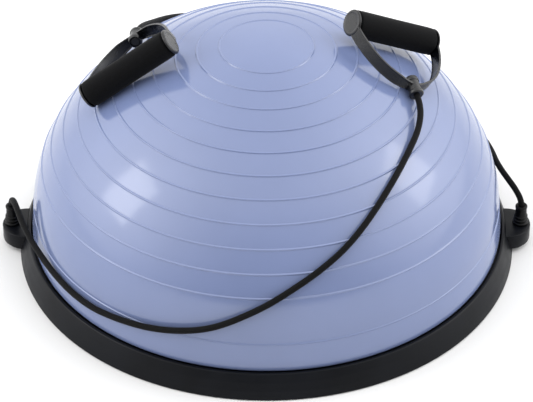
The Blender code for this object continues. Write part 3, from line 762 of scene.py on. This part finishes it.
for name, spec in (("right", RIGHT), ("left", LEFT)):
    matrix = frame_of(spec)
    foam_obj = turned(f"{name}_foam_sleeve", [
        (11.4, 57.5, 0.5), (13.0, 57.6, 1.6), (15.6, 55.2, 3.0), (15.85, 48.0, 20.0), (15.7, 0.0, 60.0), (15.85, -48.0, 20.0), (15.6, -55.2, 3.0),
        (13.0, -57.6, 1.6), (11.4, -57.5, 0.5)], 72, M_FOAM, ring=True, matrix=matrix @ ALONG_X, arc=6)
    dress(foam_obj, f"{name}_grip", "grip_foam", f"{name}_grip_foam")
    core = turned(f"{name}_core_tube", [(11.0, 57.4, 0.3), (11.0, -57.4, 0.3), (9.3, -57.4, 0.3), (9.3, 57.4, 0.3)], 48, M_CORE, ring=True,
                  matrix=matrix @ ALONG_X, arc=2)
    dress(core, f"{name}_grip", "core_plastic", f"{name}_grip_core")

    end_profile = [
        (0, 60.8), (11.0, 60.9, 1.0), (12.6, 61.3, 1.0), (14.2, 61.1, 1.2), (15.6, 59.7, 1.4), (15.6, 58.3, 0.6), (8.9, 58.1, 0.3), (8.9, 44.5, 0.5),
        (8.1, 43.5, 0.4), (0, 43.5)]
    stirrup = strap_mesh(f"{name}_stirrup_body")
    stirrup.data.materials.append(M_STIRRUP)
    parts = [turned(f"{name}_end_{tag}", end_profile, 56, matrix=turn) for tag, turn in (("a", ALONG_X), ("b", ALONG_MINUS_X))]
    parts.append(turned(f"{name}_socket", [
        (0, 94.5), (7.0, 94.5, 0.6), (8.6, 93.8, 0.9), (8.6, 90.4, 0.8), (7.6, 89.6, 0.5), (7.5, 77.0, 0.4), (8.4, 76.2, 0.6), (8.4, 73.0, 0.9),
        (7.2, 70.0, 0.8), (0, 70.0)], 48, matrix=UP_Y))
    combine(stirrup, parts, "UNION", 34.0)
    combine(stirrup, [turned(f"{name}_bore", [
        (0, 97.0), (3.95, 97.0), (3.95, 77.0), (5.9, 77.0), (5.9, 68.0), (0, 68.0)], 40, matrix=UP_Y)], "DIFFERENCE", 34.0)
    stirrup.data.transform(matrix)
    stirrup.data.update()
    stirrup.data.materials.clear()
    stirrup.data.materials.append(M_STIRRUP)
    dress(stirrup, f"{name}_handle", "stirrup_plastic", f"{name}_stirrup")
    plug_obj = turned(f"{name}_plug_cap", [(0, 76.7), (5.6, 76.7, 0.4), (5.6, 71.6, 0.6), (4.6, 70.6, 0.6), (0, 70.9)], 40, M_STOP,
                      matrix=matrix @ UP_Y)
    dress(plug_obj, f"{name}_handle", "stop_plastic", f"{name}_band_plug")

# ---------------------------------------------------------------- floor, world and lights
floor_mat, floor_tree, floor_shader = new_material("floor_paint", (0.72, 0.72, 0.72), 0.9, 0.0)
floor_noise = noise(floor_tree, 2.0, 2.0)
floor_tint = ramp(floor_tree, floor_noise.outputs["Fac"], [(0.3, (0.715, 0.715, 0.715)), (0.7, (0.725, 0.725, 0.725))])
floor_tree.links.new(floor_tint.outputs["Color"], floor_shader.inputs["Base Color"])
v, f = revolve([(0, 0.0), (1500, 0.0), (9000, 0.0)], 64)
floor = add("studio_floor", v, f, floor_mat)

world = bpy.data.worlds.new("studio")
scene.world = world
world.use_nodes = True
wt = world.node_tree
background = wt.nodes["Background"]
coords = wt.nodes.new("ShaderNodeTexCoord")
parts_ = wt.nodes.new("ShaderNodeSeparateXYZ")
wt.links.new(coords.outputs["Generated"], parts_.inputs["Vector"])


def world_math(operation, *values):
    node = wt.nodes.new("ShaderNodeMath")
    node.operation = operation
    for socket, value in zip(node.inputs, values):
        if isinstance(value, (int, float)):
            socket.default_value = value
        else:
            wt.links.new(value, socket)
    return node.outputs[0]


def height_curve(stops):
    """Radiance by the sine of the elevation, as a ramp of values halved to stay under one."""
    node = wt.nodes.new("ShaderNodeValToRGB")
    wt.links.new(world_math("MULTIPLY_ADD", parts_.outputs["Z"], 0.5, 0.5), node.inputs["Fac"])
    elements = node.color_ramp.elements
    while len(elements) < len(stops):
        elements.new(0.5)
    for element, (z, value) in zip(elements, stops):
        element.position = 0.5 + 0.5 * z
    for element, (z, value) in zip(elements, stops):
        element.color = (value / 2, value / 2, value / 2, 1.0)
    return world_math("MULTIPLY", node.outputs["Color"], 2.0)


def lobe(azimuth, elevation, amount, width):
    a, e = math.radians(azimuth), math.radians(elevation)
    dot = wt.nodes.new("ShaderNodeVectorMath")
    dot.operation = "DOT_PRODUCT"
    wt.links.new(coords.outputs["Generated"], dot.inputs[0])
    dot.inputs[1].default_value = (math.sin(a) * math.cos(e), math.cos(a) * math.cos(e), math.sin(e))
    k = 2.0 / math.radians(width) ** 2
    falling = world_math("EXPONENT", world_math("MULTIPLY_ADD", dot.outputs["Value"], k, -k))
    return world_math("MULTIPLY", falling, amount)


ahead = height_curve([(-1.0, 0.10), (-0.05, 0.10), (0.25, 0.20), (0.5, 0.36), (0.7, 0.60), (0.87, 1.15), (1.0, 1.15)])
behind = height_curve([(-1.0, 0.8), (-0.05, 1.0), (0.3, 1.2), (0.65, 1.35), (0.9, 1.15), (1.0, 1.15)])
side_of = wt.nodes.new("ShaderNodeMapRange")
side_of.interpolation_type = "SMOOTHSTEP"
for key, value in (("From Min", -0.55), ("From Max", 0.45), ("To Min", 0.0), ("To Max", 1.0)):
    side_of.inputs[key].default_value = value
wt.links.new(parts_.outputs["Y"], side_of.inputs["Value"])
mix = wt.nodes.new("ShaderNodeMix")
mix.data_type = "FLOAT"
wt.links.new(side_of.outputs["Result"], mix.inputs[0])
wt.links.new(ahead, mix.inputs[2])
wt.links.new(behind, mix.inputs[3])
sky = mix.outputs[0]
for part in (lobe(-98, 28, 2.4, 36), lobe(87, 29, 2.4, 38)):
    sky = world_math("ADD", sky, part)
wt.links.new(sky, background.inputs["Strength"])
background.inputs["Color"].default_value = (1.0, 1.0, 1.0, 1.0)


def softbox(name, azimuth, elevation, distance, width, height, radiance, aim=(0.0, 0.0, 0.15), colour=(1, 1, 1)):
    """An area light at that azimuth (0 is behind the trainer, 90 its right) and elevation, with the radiance it shows."""
    data = bpy.data.lights.new(name, "AREA")
    data.shape = "RECTANGLE"
    data.size, data.size_y = width, height
    data.energy = radiance * math.pi * width * height
    data.color = colour
    obj = bpy.data.objects.new(name, data)
    scene.collection.objects.link(obj)
    a, e = math.radians(azimuth), math.radians(elevation)
    way = Vector((math.sin(a) * math.cos(e), math.cos(a) * math.cos(e), math.sin(e)))
    obj.location = Vector(aim) + way * distance
    obj.rotation_euler = (Vector(aim) - obj.location).to_track_quat("-Z", "Y").to_euler()
    return obj


softbox("left_softbox", -98, 28, 1.9, 0.60, 0.80, 2.6)
softbox("right_softbox", 87, 29, 1.9, 0.60, 0.80, 1.9)
